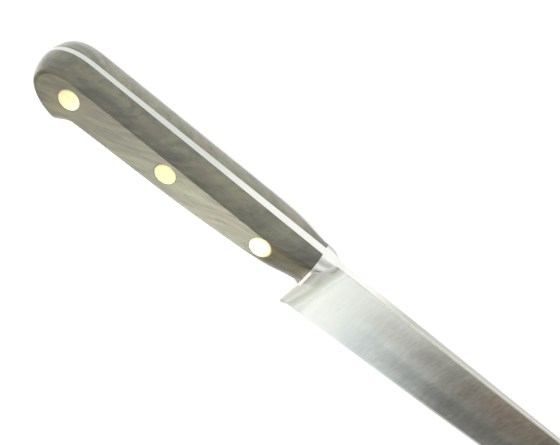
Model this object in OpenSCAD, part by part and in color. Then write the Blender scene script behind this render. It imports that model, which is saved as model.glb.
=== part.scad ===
// Forged carving knife with a full tapered tang, two wooden scales and three cutlers' rivets.
// It lies on its left side: the tip points along +X, the spine along +Y, and the right side faces +Z.
// The outline is drawn about the middle rivet, and place() then sets the origin
// at the middle of the bounding box, on the face that the knife lies on.

/* [Handle] */
// Length from the middle rivet to the bolster's rear face
handle_front = 56; // [50:0.5:62]
// Length from the middle rivet to the butt end
handle_rear = 54.1; // [51:0.2:60]
// Thickness across the flat sides
handle_t = 19.2; // [16:0.2:22]
// Thickness at the bolster, where handle and steel meet
neck_t = 13.6; // [11:0.2:15]
// Length over which the thickness falls to that of the bolster
neck_l = 16; // [12:0.5:20]
// Height of the spine line over the middle rivet
spine_y = 8.75; // [7:0.05:11]
// Fall of the handle's spine line per millimetre towards the bolster
spine_fall = 0.029; // [0:0.001:0.05]
// Depth of the belly line under the middle rivet
belly_y = 10.05; // [8:0.05:12]
// Rise of the belly line from the middle rivet to the bolster
belly_rise = 2.45; // [0:0.05:3.5]
// Radius of the crowned spine and belly faces, seen from the end
crown_r = 18; // [15:0.5:30]
// Radius of the edge between a crowned face and a flat side
edge_r = 1.8; // [1:0.1:3]
// Radius of that edge at the bolster, where the section is oval
neck_edge_r = 5; // [3:0.1:6]
// Length over which the edge radius grows
edge_blend_l = 26; // [15:1:40]
// Radius of the curve where the belly runs down into the bolster's return
flare_r = 2; // [1:0.1:4]

/* [Butt] */
// Depth of the beak under the belly line
beak_drop = 3.6; // [1:0.05:4.5]
// Place of the beak's lowest point, behind the middle rivet
beak_x = 39.6; // [36:0.2:44]
// Length of the curve from the belly line down to the beak
beak_l = 6.5; // [5:0.5:14]
// Place where the spine starts to round off, behind the middle rivet
butt_round_x = 38; // [30:0.5:44]
// Height of the rearmost point of the butt, from the rivet line
butt_y = -2; // [-4:0.1:2]
// Fullness of the butt's upper curve, where 2 is an ellipse
butt_top_n = 2.4; // [2:0.1:3]
// Fullness of the butt's lower curve
butt_low_n = 1.7; // [1.4:0.1:2.4]

/* [Tang] */
// Thickness of the steel at the bolster, which the blade's spine shares
spine_t = 3.2; // [2.4:0.1:4]
// Thickness of the tang at the butt
tang_butt_t = 1.9; // [1.2:0.1:2.4]

/* [Rivets] */
// Distance between rivets
rivet_pitch = 38.5; // [34:0.1:40]
// Diameter of the rivet heads
head_d = 8; // [6:0.1:8.4]
// Thickness of the rivet heads
head_t = 2.2; // [1.5:0.1:3]
// Diameter of the female half's barrel
barrel_d = 4.8; // [4:0.1:5.4]
// Diameter of the male half's pin
pin_d = 3; // [2:0.1:3.2]
// Depth of the female half's bore behind the pin's end
pin_room = 0.6; // [0.3:0.1:2]
// Gap between the barrel's end and the male head
barrel_gap = 1; // [0.4:0.1:2]
// Clearance all round a rivet in its holes, and round its pin
rivet_fit = 0.02; // [0.01:0.01:0.1]

/* [Bolster] */
// Length of the band of steel that is flush with the scales
land_l = 1; // [0.8:0.1:3]
// Length of the hollow in front of the band, at the spine
cove_top_l = 6.3; // [4:0.1:12]
// Length of that hollow at the heel
cove_heel_l = 3; // [1:0.1:4]
// How fast the hollow falls away from the band
hollow_n = 2.6; // [1.5:0.1:4]
// How full the round shoulder is that takes the hollow's place near the spine
shoulder_n = 2.6; // [1:0.1:4]
// Softness of the shoulder's foot, where it meets the blade
shoulder_foot_n = 1.6; // [1:0.1:3]
// Thickness of the bolster's return just under the handle
return_t = 5; // [4:0.1:8]
// Thickness of the return at the heel
heel_t = 2.4; // [1.6:0.1:4]
// How far the foot of the heel stands behind the bolster's rear face
heel_lean = 0.8; // [0:0.1:2]
// Radius that rounds the foot of the heel
foot_r = 1.2; // [0.4:0.1:2]

/* [Blade] */
// Length of the blade from the bolster's rear face to the tip
blade_l = 203; // [160:1:260]
// Depth of the heel under the rivet line
heel_y = 23.6; // [20:0.1:27]
// Height of the tip over the rivet line
tip_y = 0.5; // [-4:0.1:1.5]
// Height of the blunt end of the tip
tip_h = 0.8; // [0.5:0.1:1.5]
// Drop of the spine line over the bolster
bolster_drop = 0.45; // [0:0.05:1]
// Fall of the blade's spine line per millimetre
blade_fall = 0.0195; // [0.012:0.0005:0.024]
// Share of the edge's rise that is a straight slope
edge_slope_share = 0.2; // [0:0.05:0.5]
// Sharpness of the curve up to the tip
edge_curve_n = 4.5; // [3:0.1:7]
// Thickness of the spine at the tip
tip_t = 0.7; // [0.4:0.1:1.2]
// Rate at which the spine thins, where 1 is an even taper
thin_n = 1.35; // [1:0.05:2]
// Width of the ground edge bevel
bevel_w = 1; // [0.5:0.1:2]
// Thickness behind the bevel
bevel_t = 0.45; // [0.3:0.05:0.8]
// Width of the blunt line left on the edge, so that it is a real face
edge_t = 0.12; // [0.1:0.02:0.2]

/* [Hidden] */
$fn = 64;

rear_x = -handle_rear;
tip_x = handle_front + blade_l;
side_z = handle_t / 2;
barrel_hole_d = barrel_d + 2 * rivet_fit;
head_hole_d = head_d + 2 * rivet_fit;

function smooth(u) = let (c = min(max(u, 0), 1)) c * c * (3 - 2 * c);
function mix(a, b, u) = a + (b - a) * u;

// The handle's outline at x: spine line, belly line with its beak, and the rounded butt
belly_rise_l = 62;
function round_off(u, n) = pow(1 - pow(min(max(u, 0), 1), n), 1 / n);
function spine_line(x) = spine_y - spine_fall * x;
function belly_line(x) = -belly_y + belly_rise * smooth(x / belly_rise_l)
    - beak_drop * smooth((beak_l - beak_x - x) / beak_l);
flare_share = 0.93;
function flare(x) = let (u = flare_share * min(max((x - handle_front) / flare_r + 1, 0), 1))
    flare_r * (1 - sqrt(1 - u * u));
function top_y(x) = mix(butt_y, spine_line(x),
    round_off((-butt_round_x - x) / (handle_rear - butt_round_x), butt_top_n));
function low_y(x) = mix(butt_y, belly_line(x),
    round_off((-beak_x - x) / (handle_rear - beak_x), butt_low_n));

// Stations along the handle, from the bolster to just before the butt end
front_steps = 13;
grip_steps = 7;
beak_steps = 8;
butt_steps = 17;
grip_front_x = handle_front - edge_blend_l;
neck_x = beak_l - beak_x;
butt_start_x = -min(butt_round_x, beak_x);
station_x = concat(
    [for (i = [0 : front_steps - 1]) mix(handle_front, grip_front_x, pow(i / front_steps, 1.6))],
    [for (i = [0 : grip_steps - 1]) mix(grip_front_x, neck_x, i / grip_steps)],
    [for (i = [0 : beak_steps - 1]) mix(neck_x, butt_start_x, i / beak_steps)],
    [for (i = [0 : butt_steps - 1])
        mix(butt_start_x, rear_x, sin(90 * pow(i / butt_steps, 0.92)))]);
stations = len(station_x);

// The outline as one open line: spine from the front, round the butt end, belly to the front
plain_outline = concat(
    [for (x = station_x) [x, top_y(x)]],
    [[rear_x, butt_y]],
    [for (i = [stations - 1 : -1 : 0]) [station_x[i], low_y(station_x[i])]]);
outline_last = len(plain_outline) - 1;
outline = [for (i = [0 : outline_last]) let (p = plain_outline[i])
    i > stations ? [p[0], p[1] - flare(p[0])] : p];
high_y = max([for (p = outline) p[1]]);

// Direction into the handle, square to the outline. It is taken over a few stations each way,
// so that the flat side doesn't fold at the beak. Both ends point straight across the handle,
// so that the front face stays flat.
reach = 4;
function unit(v) = v / norm(v);
function inward(i) = i == 0 ? [0, -1] : i == outline_last ? [0, 1]
    : let (n = min(reach, i, outline_last - i), d = unit(plain_outline[i + n] - plain_outline[i - n]))
        [-d[1], d[0]];

// Half thickness and edge radius of the handle at x
function half_t(x) = mix(side_z, neck_t / 2, smooth((x - handle_front + neck_l) / neck_l));
function edge_radius(x) = mix(edge_r, neck_edge_r,
    smooth((x - handle_front + edge_blend_l) / edge_blend_l));
function tang_half_t(x) = mix(tang_butt_t, spine_t, (x - rear_x) / (handle_front - rear_x)) / 2;

// The handle's section at x as [distance in from the outline, height over the mid plane]:
// a crowned face that runs out from the tang, then the rounded edge up to the flat side
crown_steps = 5;
edge_steps = 5;
function section(x) =
    let (h = half_t(x), r = edge_radius(x), z0 = tang_half_t(x),
        meet = asin((h - r) / (crown_r - r)), start = asin(z0 / crown_r),
        sunk = crown_r - (crown_r - r) * cos(meet), zero = crown_r * (1 - cos(start)))
    concat(
        [for (k = [0 : crown_steps - 1]) let (a = mix(start, meet, k / crown_steps))
            [crown_r * (1 - cos(a)) - zero, k == 0 ? z0 : crown_r * sin(a)]],
        [for (k = [0 : edge_steps]) let (a = mix(meet, 90, k / edge_steps))
            [sunk - zero - r * cos(a), h - r + r * sin(a)]]);
levels = crown_steps + edge_steps + 1;

// Solid half handle over the tang: one ring of points for each level of the section
module scale_blank() {
    sections = [for (p = outline) section(p[0])];
    width = outline_last + 1;
    points = [for (k = [0 : levels - 1]) for (i = [0 : outline_last])
        let (q = outline[i] + inward(i) * sections[i][k][0])
        [q[0], q[1], sections[i][k][1]]];
    walls = [for (k = [0 : levels - 2]) for (i = [0 : outline_last - 1])
        let (a = k * width + i) each [[a, a + width + 1, a + 1], [a, a + width, a + width + 1]]];
    inner = [for (i = [0 : stations - 1]) let (b = outline_last - i)
        each [[i, b - 1, b], if (i < stations - 1) [i, i + 1, b - 1]]];
    top = (levels - 1) * width;
    side = [for (i = [0 : stations - 1]) let (a = top + i, b = top + outline_last - i)
        each [[a, b, b - 1], if (i < stations - 1) [a, b - 1, a + 1]]];
    front = [concat([for (k = [levels - 1 : -1 : 0]) k * width],
        [for (k = [0 : levels - 1]) k * width + outline_last])];
    polyhedron(points, concat(walls, inner, side, front), convexity = 4);
}

module rivet_holes() {
    for (i = [-1 : 1]) {
        translate([i * rivet_pitch, 0, 0]) {
            cylinder(h = 4 * side_z, d = barrel_hole_d, center = true);
            translate([0, 0, side_z - head_t]) cylinder(h = side_z, d = head_hole_d);
        }
    }
}

module scale_half() {
    difference() {
        scale_blank();
        rivet_holes();
    }
}

// Rows across the bolster and blade, from the spine to the edge. At the bolster's rear face they
// follow the handle's section and then the return, so that wood and steel meet flush.
side_rows = 3;
return_rows = 9;
bolster_top_y = outline[0][1];
bolster_low_y = outline[outline_last][1];
blade_h = bolster_top_y + heel_y;
neck_section = section(handle_front);
function return_half_t(y) =
    mix(heel_t, return_t, (y + heel_y) / (bolster_low_y + heel_y)) / 2;
function soft_max(a, b, r) = let (u = max(r - abs(a - b), 0) / r) max(a, b) + u * u * r / 4;
return_blend = 1.6;
side_inset = neck_section[levels - 1][0];
rows = concat(
    [for (k = [0 : levels - 1]) [bolster_top_y - neck_section[k][0], neck_section[k][1]]],
    [for (i = [1 : side_rows]) [mix(bolster_top_y - side_inset, bolster_low_y + side_inset,
        i / (side_rows + 1)), neck_section[levels - 1][1]]],
    [for (k = [levels - 1 : -1 : 0]) let (y = bolster_low_y + neck_section[k][0])
        [y, soft_max(neck_section[k][1], return_half_t(y), return_blend)]],
    [for (i = [1 : return_rows]) let (y = mix(bolster_low_y, -heel_y, sin(90 * i / return_rows)))
        [y, return_half_t(y)]]);
last_row = len(rows) - 1;
row_share = [for (r = rows) (r[0] + heel_y) / blade_h];

// Blade outline and thickness at x
function along(x) = min(max((x - handle_front) / blade_l, 0), 1);
bolster_drop_l = 9;
tip_drop = bolster_top_y - bolster_drop - blade_fall * blade_l - tip_y;
function spine_at(x) = let (u = along(x))
    bolster_top_y - bolster_drop * smooth(u * blade_l / bolster_drop_l)
    - blade_fall * u * blade_l - tip_drop * pow(u, 6);
function edge_at(x) = let (u = along(x), rise = tip_y - tip_h + heel_y)
    rise * (edge_slope_share * u + (1 - edge_slope_share) * pow(u, edge_curve_n)) - heel_y;
function spine_half_t(x) = mix(tip_t, spine_t, pow(1 - along(x), thin_n)) / 2;
function blade_half_t(x, share) =
    let (h = spine_at(x) - edge_at(x), up = share * h,
        ground = mix(bevel_t / 2, spine_half_t(x), pow(share, 0.85)))
    up < bevel_w ? mix(edge_t / 2, ground, up / bevel_w) : ground;

// Lines of points from the bolster to the tip. The first ones follow the curve of the hollow,
// which turns into a round shoulder between the two shares of the blade's depth given here.
cove_steps = 8;
shoulder_from = 0.8;
shoulder_to = 0.94;
blade_steps = 21;
cove_end = 1;
function cove_l(share) = mix(cove_heel_l, cove_top_l, sin(90 * share));
function rear_face_x(share) = handle_front
    - heel_lean * max(0, 1 - share * blade_h / (heel_y + bolster_low_y))
    + foot_r * (1 - sqrt(1 - pow(max(0, 1 - share * blade_h / foot_r), 2)));
function cove_x(share, w) = rear_face_x(share) + land_l + cove_l(share) * w;
lines = concat([-1], [for (i = [0 : cove_steps]) i / cove_steps],
    [for (i = [1 : blade_steps]) cove_end + i]);
function line_x(i, share) =
    lines[i] < 0 ? rear_face_x(share)
    : lines[i] <= cove_end ? cove_x(share, lines[i])
    : mix(cove_x(share, cove_end), tip_x, sin(90 * pow((lines[i] - cove_end) / blade_steps, 1.15)));
function hollow(i, share) = lines[i] < 0 ? 1 : lines[i] > cove_end ? 0
    : let (s = smooth((share - shoulder_from) / (shoulder_to - shoulder_from)))
        pow(1 - pow(lines[i], mix(1, shoulder_n, s)), mix(hollow_n, shoulder_foot_n, s));
// The rows start at the section's own heights and are evenly spaced a few lines on
even_lines = 8;
function row_at(i, j) = mix(row_share[j], 1 - j / last_row, smooth(lines[i] / even_lines));
function blade_point(i, j, side) =
    let (share = row_at(i, j), x = line_x(i, share), steel = blade_half_t(x, share),
        y = mix(edge_at(x), spine_at(x), share))
    [x, y, side * (steel + max(rows[j][1] - steel, 0) * hollow(i, share))];

// The whole forging as one skin: blade and bolster, the bolster's rear face around the tang,
// and the tang, which has the handle's outline and thins to the butt
module forging() {
    last_line = len(lines) - 1;
    ring = 2 * (last_row + 1);
    belly_row = 2 * levels - 1 + side_rows;
    blade_points = [for (i = [0 : last_line]) each concat(
        [for (j = [0 : last_row]) blade_point(i, j, 1)],
        [for (j = [last_row : -1 : 0]) blade_point(i, j, -1)])];
    tang_start = len(blade_points) - 1;
    tang_points = [for (side = [1, -1]) for (i = [1 : outline_last])
        [outline[i][0], outline[i][1], side * tang_half_t(outline[i][0])]];
    up = [for (i = [0 : outline_last]) i == 0 ? 0 : tang_start + i];
    down = [for (i = [0 : outline_last]) i == 0 ? ring - 1 : tang_start + outline_last + i];
    skin = [for (i = [0 : last_line - 1]) for (j = [0 : ring - 1])
        let (a = i * ring + j, b = i * ring + (j + 1) % ring)
        if (i > 0 || j < ring - 1) each [[a, b + ring, b], [a, a + ring, b + ring]]];
    tip_end = [for (j = [0 : last_row - 1])
        let (a = last_line * ring + j, b = last_line * ring + ring - 1 - j)
        each [[a, b, b - 1], [a, b - 1, a + 1]]];
    top_strip = [[ring - 1, ring, 0], [ring - 1, 2 * ring - 1, ring]];
    rear_right = [[0, belly_row, up[outline_last]], for (j = [0 : levels - 2])
        let (b = belly_row - j)
            each [[j, j + 1, b], if (j < levels - 2) [j + 1, b - 1, b]],
        for (j = [levels - 1 : belly_row - levels]) [j, j + 1, belly_row - levels + 2]];
    rear_left = [for (f = rear_right)
        [for (n = [2 : -1 : 0]) f[n] == up[outline_last] ? down[outline_last] : ring - 1 - f[n]]];
    low = belly_row + 1;
    rear_low = [[belly_row, low, up[outline_last]], [low, ring - 1 - low, up[outline_last]],
        [ring - 1 - low, down[outline_last], up[outline_last]],
        [ring - 1 - low, ring - 1 - belly_row, down[outline_last]]];
    rear_return = [for (j = [belly_row + 1 : last_row - 1]) let (b = ring - 1 - j)
        each [[j, b - 1, b], [j, j + 1, b - 1]]];
    tang_edge = [for (i = [0 : outline_last - 1])
        each [[up[i], up[i + 1], down[i + 1]], [up[i], down[i + 1], down[i]]]];
    tang_sides = [for (i = [0 : stations - 1]) let (b = outline_last - i) each [
        [up[i], up[b], up[b - 1]], if (i < stations - 1) [up[i], up[b - 1], up[i + 1]],
        [down[i], down[b - 1], down[b]], if (i < stations - 1) [down[i], down[i + 1], down[b - 1]]]];
    polyhedron(concat(blade_points, tang_points),
        concat(skin, tip_end, top_strip, rear_right, rear_left, rear_low, rear_return,
            tang_edge, tang_sides), convexity = 6);
}

// One half of a cutlers' rivet, with its head at the top
barrel_end_z = head_t - side_z + barrel_gap;
pin_end_z = side_z - head_t - pin_room;
module rivet_head() {
    translate([0, 0, side_z - head_t]) cylinder(h = head_t, d = head_d);
}
module female_half() {
    difference() {
        union() {
            rivet_head();
            translate([0, 0, barrel_end_z]) cylinder(h = side_z - barrel_end_z - head_t / 2, d = barrel_d);
        }
        translate([0, 0, barrel_end_z - 1])
            cylinder(h = pin_end_z + pin_room - barrel_end_z + 1, d = pin_d + 2 * rivet_fit);
    }
}
module male_half() {
    rivet_head();
    translate([0, 0, -pin_end_z]) cylinder(h = side_z - head_t / 2 + pin_end_z, d = pin_d);
}

// Sets the origin: middle of the bounding box, on the face that the knife lies on
module place() {
    translate([-(rear_x + tip_x) / 2, -(high_y - heel_y) / 2, side_z]) children();
}
module rivet_at(i, down) {
    place() translate([i * rivet_pitch, 0, 0]) rotate([down ? 180 : 0, 0, 0]) children();
}

module blade() {
    color("lightsteelblue") place() difference() {
        forging();
        rivet_holes();
    }
}
module right_scale() { color("saddlebrown") place() scale_half(); }
module left_scale() { color("sienna") place() mirror([0, 0, 1]) scale_half(); }
module butt_rivet_female() { color("gold") rivet_at(-1, false) female_half(); }
module butt_rivet_male() { color("goldenrod") rivet_at(-1, true) male_half(); }
module middle_rivet_female() { color("gold") rivet_at(0, false) female_half(); }
module middle_rivet_male() { color("goldenrod") rivet_at(0, true) male_half(); }
module front_rivet_female() { color("gold") rivet_at(1, false) female_half(); }
module front_rivet_male() { color("goldenrod") rivet_at(1, true) male_half(); }

blade();
right_scale();
left_scale();
butt_rivet_female();
butt_rivet_male();
middle_rivet_female();
middle_rivet_male();
front_rivet_female();
front_rivet_male();
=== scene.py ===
import math

import bmesh
import bpy
from mathutils import Matrix, Vector
from mathutils.bvhtree import BVHTree


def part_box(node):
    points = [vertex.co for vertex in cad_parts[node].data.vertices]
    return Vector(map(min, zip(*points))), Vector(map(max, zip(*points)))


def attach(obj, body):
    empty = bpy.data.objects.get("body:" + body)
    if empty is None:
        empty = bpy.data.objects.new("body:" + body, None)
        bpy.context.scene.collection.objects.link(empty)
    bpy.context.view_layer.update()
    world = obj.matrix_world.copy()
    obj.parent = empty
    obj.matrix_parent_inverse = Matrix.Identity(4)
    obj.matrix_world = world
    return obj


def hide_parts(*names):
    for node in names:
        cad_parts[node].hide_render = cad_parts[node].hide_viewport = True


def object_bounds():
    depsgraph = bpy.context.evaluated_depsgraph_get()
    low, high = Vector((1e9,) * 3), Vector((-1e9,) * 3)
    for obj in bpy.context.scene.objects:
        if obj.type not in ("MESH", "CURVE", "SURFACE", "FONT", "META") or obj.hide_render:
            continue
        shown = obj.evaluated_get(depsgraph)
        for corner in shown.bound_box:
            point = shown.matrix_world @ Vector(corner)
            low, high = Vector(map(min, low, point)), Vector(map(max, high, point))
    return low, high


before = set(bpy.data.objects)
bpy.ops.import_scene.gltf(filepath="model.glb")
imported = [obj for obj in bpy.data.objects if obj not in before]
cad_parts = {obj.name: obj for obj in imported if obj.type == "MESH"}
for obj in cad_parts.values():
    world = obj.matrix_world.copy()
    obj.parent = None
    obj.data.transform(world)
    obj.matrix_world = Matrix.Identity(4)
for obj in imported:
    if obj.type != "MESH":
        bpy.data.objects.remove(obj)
cadLow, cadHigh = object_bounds()
scene = bpy.context.scene
print("frame loaded with", len(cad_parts), "solids")

# Everything is drawn in millimetres about the middle rivet, with z = 0 halfway through the tang.
# intoFrame then puts it where the solids are, in metres.
metre = 0.001
touching, welded = 1e-4, 1e-3  # how far apart points may be that touch, and that are joined
rivetLow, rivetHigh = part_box("middle_rivet_female")
rivetCentre = (rivetLow + rivetHigh) / 2
tangCentre = Vector((rivetCentre.x, rivetCentre.y, (cadLow.z + cadHigh.z) / 2))
intoFrame = Matrix.Translation(tangCentre) @ Matrix.Scale(metre, 4)


def smoothStep(u):
    u = min(max(u, 0.0), 1.0)
    return u * u * (3 - 2 * u)


def mix(a, b, u):
    return a + (b - a) * u


def share(value, low, high):
    return min(max((value - low) / (high - low), 0.0), 1.0)


# The handle's outline seen from the side, and its section
handle = {
    "front": 56.0,
    "rear": 54.1,
    "thickness": 19.2,
    "neckThickness": 13.6,
    "neckLength": 16.0,
    "spineHeight": 8.75,
    "spineFall": 0.029,
    "bellyDepth": 10.05,
    "bellyRise": 2.45,
    "bellyRiseLength": 62.0,
    "crownRadius": 18.0,
    "edgeRadius": 1.8,
    "neckEdgeRadius": 5.0,
    "edgeBlend": 26.0,
    "flareRadius": 2.0,
    "flareShare": 0.93,
    "beakDrop": 3.6,
    "beakX": 39.6,
    "beakLength": 6.5,
    "buttRoundX": 38.0,
    "buttHeight": -2.0,
    "buttTopFullness": 2.4,
    "buttLowFullness": 1.7,
    "inwardReach": 3.6,
    "frontSteps": 30,
    "gripSteps": 26,
    "beakSteps": 18,
    "buttSteps": 40,
    "frontStepCurve": 1.5,
    "buttStepCurve": 0.92,
    "crownSteps": 9,
    "edgeSteps": 14,
    "sideRows": 12,
    "seamBevel": 0.1,
}
tang = {"frontThickness": 3.2, "buttThickness": 1.9, "polishFrom": 5.0, "polishLength": 30.0}
halfThickness = handle["thickness"] / 2


def roundOff(u, fullness):
    u = min(max(u, 0.0), 1.0)
    return max(1 - u**fullness, 0.0) ** (1 / fullness)


def spineLine(x):
    return handle["spineHeight"] - handle["spineFall"] * x


def bellyLine(x):
    rise = handle["bellyRise"] * smoothStep(x / handle["bellyRiseLength"])
    beak = smoothStep((handle["beakLength"] - handle["beakX"] - x) / handle["beakLength"])
    return -handle["bellyDepth"] + rise - handle["beakDrop"] * beak


def flareDrop(x):
    u = handle["flareShare"] * share(x, handle["front"] - handle["flareRadius"], handle["front"])
    return handle["flareRadius"] * (1 - math.sqrt(1 - u * u))


def buttCurve(x, start, line, fullness):
    u = (-start - x) / (handle["rear"] - start)
    return mix(handle["buttHeight"], line, roundOff(u, fullness))


def topY(x):
    return buttCurve(x, handle["buttRoundX"], spineLine(x), handle["buttTopFullness"])


def lowY(x):
    return buttCurve(x, handle["beakX"], bellyLine(x), handle["buttLowFullness"])


def stationList():
    front, rear = handle["front"], -handle["rear"]
    gripFront = front - handle["edgeBlend"]
    beakFront = handle["beakLength"] - handle["beakX"]
    buttFront = -min(handle["buttRoundX"], handle["beakX"])
    steps = handle["frontSteps"]
    stations = [mix(front, gripFront, (i / steps) ** handle["frontStepCurve"]) for i in range(steps)]
    steps = handle["gripSteps"]
    stations += [mix(gripFront, beakFront, i / steps) for i in range(steps)]
    steps = handle["beakSteps"]
    stations += [mix(beakFront, buttFront, i / steps) for i in range(steps)]
    steps = handle["buttSteps"]
    turns = [math.pi / 2 * (i / steps) ** handle["buttStepCurve"] for i in range(steps)]
    return stations + [mix(buttFront, rear, math.sin(turn)) for turn in turns]


stations = stationList()
stationCount = len(stations)
plainOutline = [Vector((x, topY(x))) for x in stations]
plainOutline += [Vector((-handle["rear"], handle["buttHeight"]))]
plainOutline += [Vector((x, lowY(x))) for x in reversed(stations)]
lastPoint = len(plainOutline) - 1
outline = [p.copy() for p in plainOutline]
for p in outline[stationCount + 1 :]:
    p.y -= flareDrop(p.x)
along = [0.0]
for i in range(lastPoint):
    along.append(along[-1] + (plainOutline[i + 1] - plainOutline[i]).length)


def outlineAt(distance):
    i = 0
    while i < lastPoint - 1 and along[i + 1] < distance:
        i += 1
    return plainOutline[i].lerp(plainOutline[i + 1], share(distance, along[i], along[i + 1]))


def inwardAt(i):
    if i in (0, lastPoint):
        return Vector((0, -1 if i == 0 else 1))
    reach = min(handle["inwardReach"], along[i], along[-1] - along[i])
    d = (outlineAt(along[i] + reach) - outlineAt(along[i] - reach)).normalized()
    return Vector((-d.y, d.x))


inward = [inwardAt(i) for i in range(lastPoint + 1)]


def halfAt(x):
    neck = smoothStep((x - handle["front"] + handle["neckLength"]) / handle["neckLength"])
    return mix(halfThickness, handle["neckThickness"] / 2, neck)


def tangHalfAt(x):
    u = (x + handle["rear"]) / (handle["front"] + handle["rear"])
    return mix(tang["buttThickness"], tang["frontThickness"], u) / 2


# One side of the handle's section as (distance in from the outline, height), from the tang outwards
def sectionAt(x):
    height, crown = halfAt(x), handle["crownRadius"]
    blend = smoothStep((x - handle["front"] + handle["edgeBlend"]) / handle["edgeBlend"])
    radius = mix(handle["edgeRadius"], handle["neckEdgeRadius"], blend)
    base = tangHalfAt(x)
    meet = math.asin((height - radius) / (crown - radius))
    start = math.asin(base / crown)
    zero = crown * (1 - math.cos(start))
    sunk = crown - (crown - radius) * math.cos(meet)
    points = []
    for k in range(handle["crownSteps"]):
        a = mix(start, meet, k / handle["crownSteps"])
        points.append((crown * (1 - math.cos(a)) - zero, crown * math.sin(a)))
    for k in range(handle["edgeSteps"] + 1):
        a = mix(meet, math.pi / 2, k / handle["edgeSteps"])
        points.append((sunk - zero - radius * math.cos(a), height - radius + radius * math.sin(a)))
    return points


levelCount = handle["crownSteps"] + handle["edgeSteps"] + 1
sections = [sectionAt(p.x) for p in outline]


def wallPoint(i, k):
    inset, z = sections[i][k]
    p = outline[i] + inward[i] * inset
    return Vector((p.x, p.y, z))


# A grid whose points are put in place by a rule; a mark, if given, is stored as their polish
def shapedGrid(bm, columns, rows, place, mark=None):
    made = bmesh.ops.create_grid(bm, x_segments=columns, y_segments=rows, size=1)["verts"]
    layer = bm.verts.layers.float.get("polish")
    for v in made:
        i = round((v.co.x + 1) / 2 * columns)
        k = round((v.co.y + 1) / 2 * rows)
        v.co = place(i, k)
        if mark:
            v[layer] = mark(i)


def latheProfile(bm, profile, steps):
    verts = [bm.verts.new((r, 0, z)) for r, z in profile]
    edges = [bm.edges.new(pair) for pair in zip(verts, verts[1:])]
    turn = dict(cent=(0, 0, 0), axis=(0, 0, 1), angle=2 * math.pi, steps=steps, use_merge=True)
    bmesh.ops.spin(bm, geom=verts + edges, **turn)
    bmesh.ops.remove_doubles(bm, verts=bm.verts, dist=touching)


def meshFrom(bm, name):
    bmesh.ops.recalc_face_normals(bm, faces=bm.faces)
    mesh = bpy.data.meshes.new(name)
    bm.to_mesh(mesh)
    bm.free()
    return mesh


# Cuts the holes with Blender's exact boolean and gives back the cut mesh
def cutWith(mesh, cutterMesh):
    body = bpy.data.objects.new("uncut", mesh)
    cutter = bpy.data.objects.new("cutter", cutterMesh)
    for o in (body, cutter):
        scene.collection.objects.link(o)
    cut = body.modifiers.new("rivetHoles", "BOOLEAN")
    cut.operation = "DIFFERENCE"
    cut.solver = "EXACT"
    cut.object = cutter
    bpy.context.view_layer.update()
    made = bpy.data.meshes.new_from_object(body.evaluated_get(bpy.context.evaluated_depsgraph_get()))
    for o in (body, cutter):
        bpy.data.objects.remove(o)
    return made


# Puts a finished mesh into the frame as a piece that stands for its solid
def addPiece(mesh, name, node, material, sharpAngle=32):
    mesh.transform(intoFrame)
    mesh.shade_smooth()
    mesh.set_sharp_from_angle(angle=math.radians(sharpAngle))
    mesh.materials.clear()
    mesh.materials.append(material)
    piece = bpy.data.objects.new(name, mesh)
    scene.collection.objects.link(piece)
    normals = piece.modifiers.new("weightedNormals", "WEIGHTED_NORMAL")
    normals.keep_sharp = True
    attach(piece, "root")
    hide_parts(node)
    print("made", name, "with", len(mesh.polygons), "faces")


# Short ways to add nodes; an input is a value or another node's socket
def addNode(tree, kind, settings=None, inputs=None):
    node = tree.nodes.new(kind)
    for key, value in (settings or {}).items():
        setattr(node, key, value)
    for key, value in (inputs or {}).items():
        if isinstance(value, bpy.types.NodeSocket):
            tree.links.new(value, node.inputs[key])
        else:
            node.inputs[key].default_value = value
    return node


def calc(tree, operation, a, b, clamp=False):
    settings = {"operation": operation, "use_clamp": clamp}
    return addNode(tree, "ShaderNodeMath", settings, {0: a, 1: b}).outputs[0]


def times(tree, a, b):
    return calc(tree, "MULTIPLY", a, b)


def plus(tree, a, b):
    return calc(tree, "ADD", a, b)


def minus(tree, a, b):
    return calc(tree, "SUBTRACT", a, b)


def stretched(tree, vector, scale, offset=(0, 0, 0)):
    values = {"Vector": vector, "Scale": scale, "Location": offset}
    return addNode(tree, "ShaderNodeMapping", {"vector_type": "POINT"}, values).outputs[0]


def turned(tree, vector, angle):
    values = {"Vector": vector, "Angle": angle}
    return addNode(tree, "ShaderNodeVectorRotate", {"rotation_type": "Z_AXIS"}, values).outputs[0]


def noise(tree, vector, detail, roughness=0.5, distortion=0.0):
    values = {"Vector": vector, "Scale": 1.0, "Detail": detail}
    values.update({"Roughness": roughness, "Distortion": distortion})
    return addNode(tree, "ShaderNodeTexNoise", None, values).outputs[0]


# A noise given as its scale, offset, detail and, if they aren't the usual ones, roughness and distortion
def placedNoise(tree, vector, values):
    scale, offset, *rest = values
    return noise(tree, stretched(tree, vector, scale, offset), *rest)


def remap(tree, value, low, high, newLow=0.0, newHigh=1.0):
    values = {"Value": value, "From Min": low, "From Max": high, "To Min": newLow, "To Max": newHigh}
    return addNode(tree, "ShaderNodeMapRange", {"interpolation_type": "SMOOTHSTEP"}, values).outputs[0]


# 1 within a span and 0 outside it: two numbers fade on one side of it, four on both sides
def within(tree, value, span):
    if len(span) == 2:
        return remap(tree, value, *span)
    start, full, fullEnd, end = span
    return times(tree, remap(tree, value, start, full), remap(tree, value, end, fullEnd))


# 1 in a patch of the knife's side, given by its spans along the knife and from belly to spine
def patch(tree, part, along, side):
    return times(tree, within(tree, part["X"], along), within(tree, part["Y"], side))


# Place in millimetres from the middle rivet
def placeFromRivet(tree, place):
    middle = (-rivetCentre.x / metre, -rivetCentre.y / metre, 0)
    moved = stretched(tree, place, perMetre, middle)
    return addNode(tree, "ShaderNodeSeparateXYZ", None, {0: moved}).outputs


def storedValue(tree, name):
    return addNode(tree, "ShaderNodeAttribute", {"attribute_name": name}).outputs["Fac"]


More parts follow.
